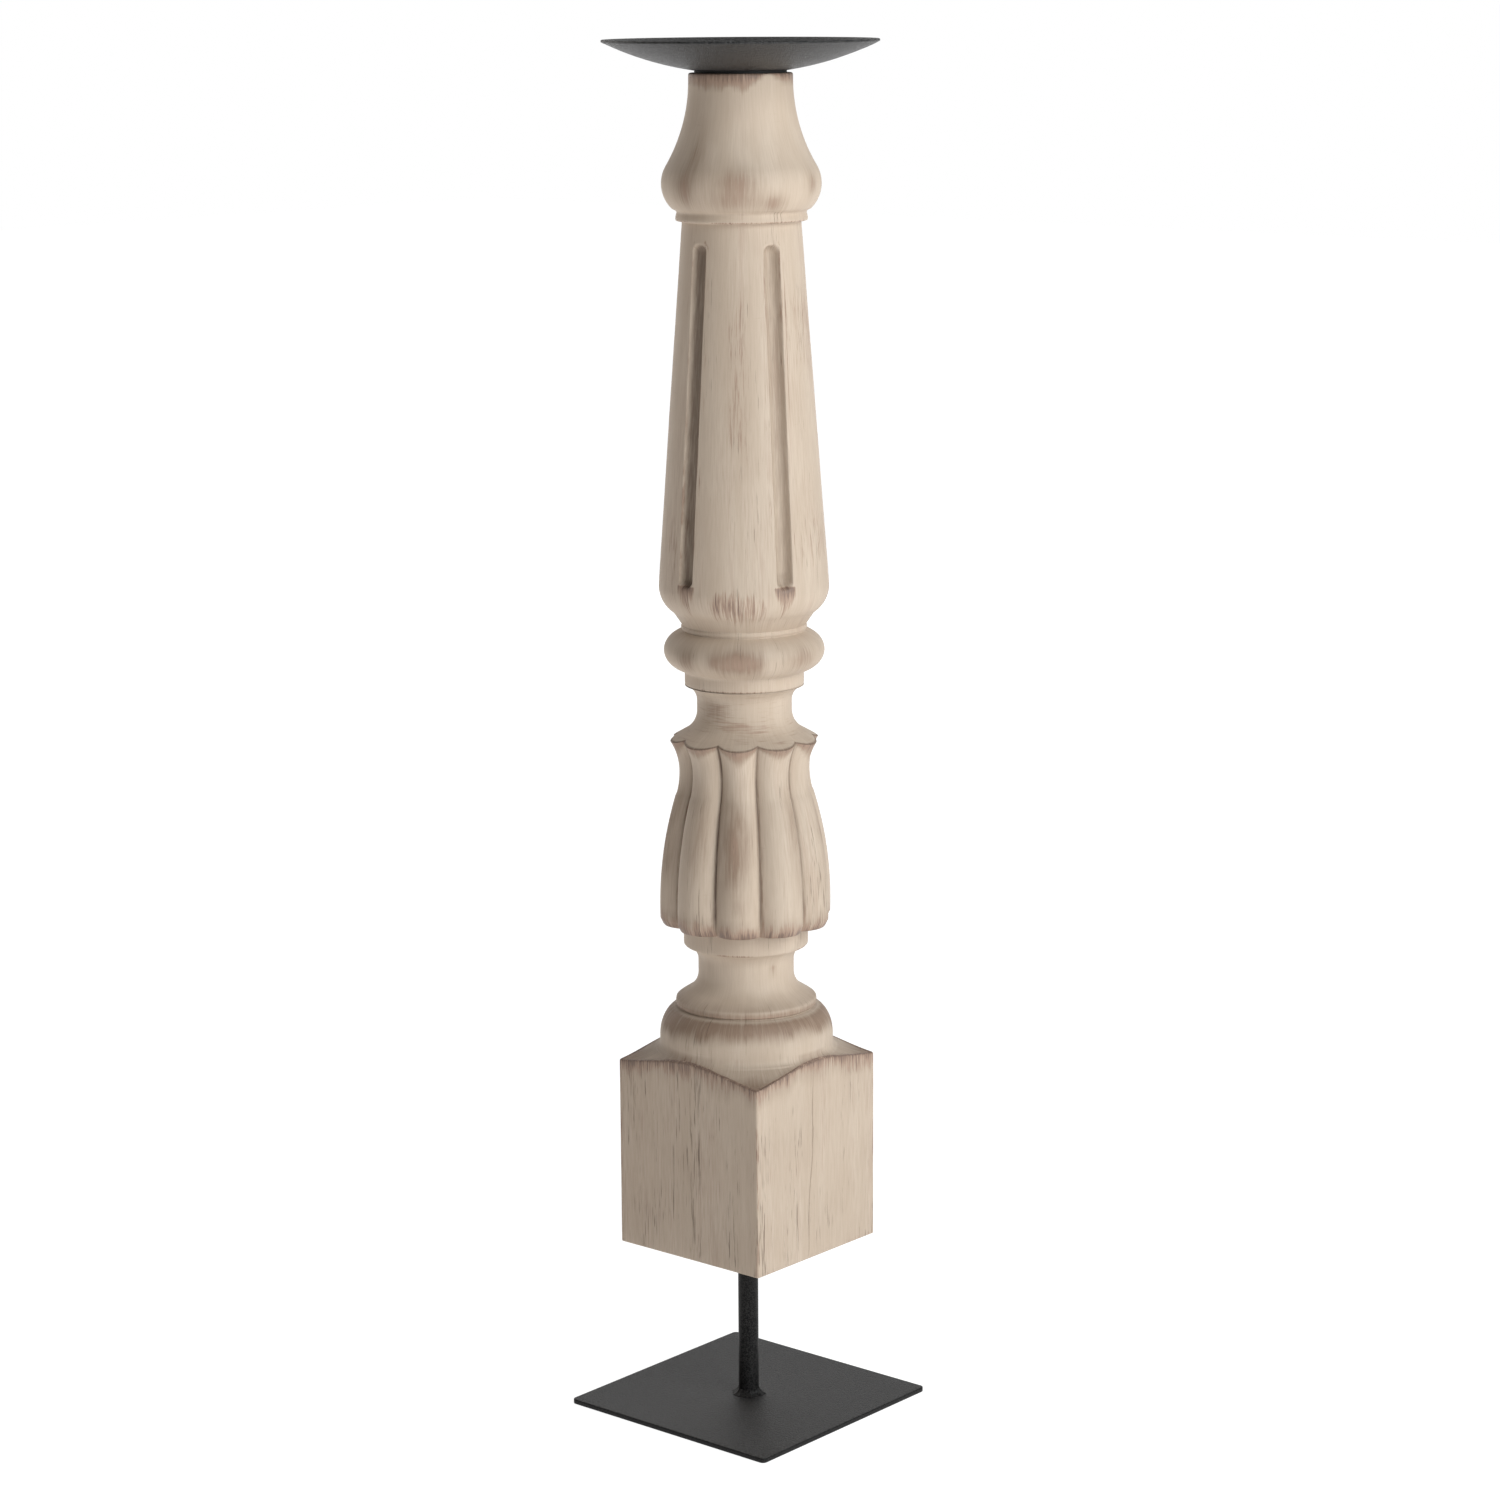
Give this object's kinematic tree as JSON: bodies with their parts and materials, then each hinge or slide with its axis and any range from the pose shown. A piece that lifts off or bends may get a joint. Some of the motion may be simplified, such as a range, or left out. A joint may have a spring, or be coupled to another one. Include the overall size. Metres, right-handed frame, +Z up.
{
  "type": "wooden candlestick",
  "caption": "Tall baluster candlestick: turned and carved painted wood with a square block, held above a steel plate on a round stem, topped by a shallow steel candle dish.",
  "frame": {"origin": "on the table, under the middle of the square base plate", "axes": "+Z up along the stem and the turned post; X and Y square to the sides of the plate and of the block"},
  "size_m": [0.104, 0.104, 0.5333],
  "materials": {
    "powder_coat": "fine-textured matt black powder coat on mild steel",
    "washed_wood": "cream wash rubbed over brown-stained open-grained wood, worn through on the high places",
    "zinc_steel": "bright zinc-plated steel",
    "rubber": "plain black rubber"
  },
  "bodies": {
    "root": {"base_plate": "powder_coat", "stem_rod": "powder_coat", "stem_weld": "powder_coat", "threaded_insert": "zinc_steel", "turned_post": "washed_wood", "spacer_washer": "rubber", "candle_dish": "powder_coat", "dish_screw": "zinc_steel"}
  },
  "joints": []
}
